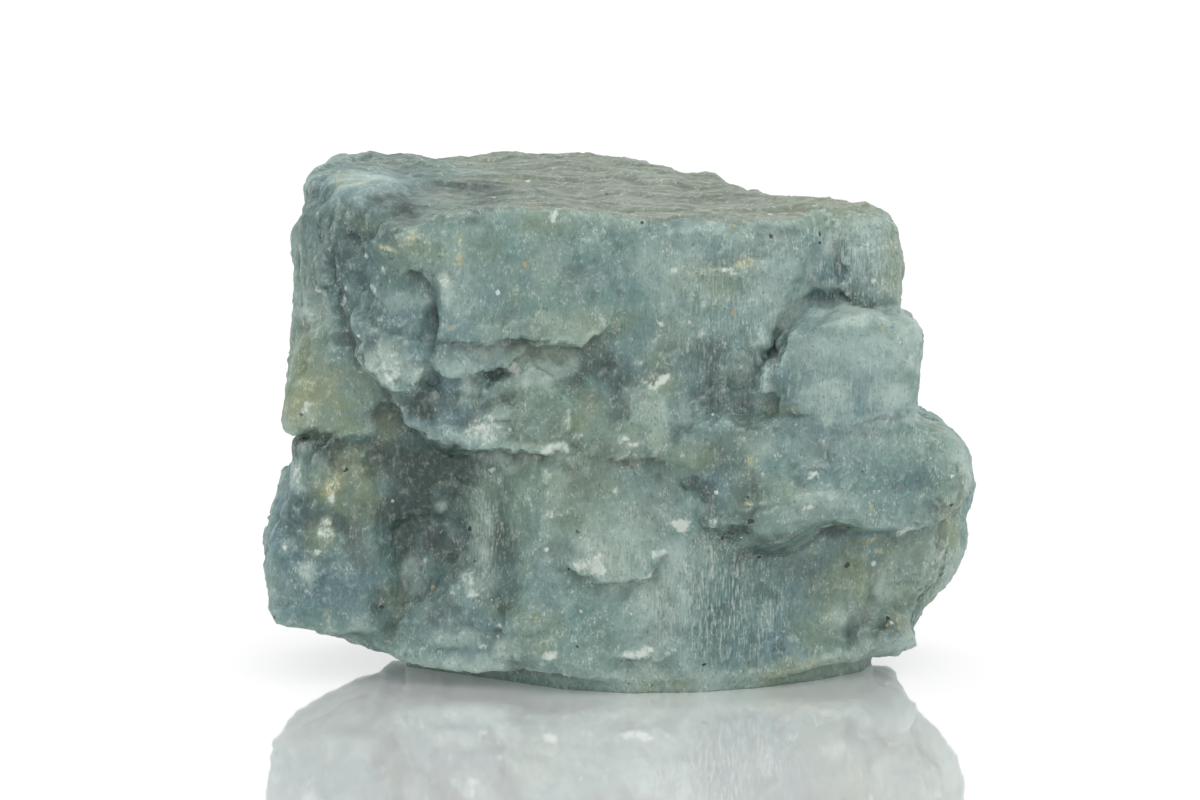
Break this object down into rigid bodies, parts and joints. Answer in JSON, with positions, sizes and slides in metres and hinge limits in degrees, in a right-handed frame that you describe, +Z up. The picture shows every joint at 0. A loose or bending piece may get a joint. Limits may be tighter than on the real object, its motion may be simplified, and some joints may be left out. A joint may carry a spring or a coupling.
{
  "type": "aquamarine crystal",
  "caption": "Rough lump of blue-green aquamarine: layered flat top, ledged and lobed front, stubby crystal on a wavy shelf, and a flat broken foot to rest on.",
  "frame": {"origin": "on the table, under the middle of the stone's bounding box", "axes": "+Z up, +X along the stone's width to the right of the ledged front, +Y from the ledged front to the back"},
  "size_m": [0.0518, 0.0288, 0.0368],
  "materials": {
    "aquamarine": "cloudy translucent, waxy to dull, with pale crusts and rusty grains"
  },
  "bodies": {
    "root": {"aquamarine_crystal": "aquamarine"}
  },
  "joints": []
}
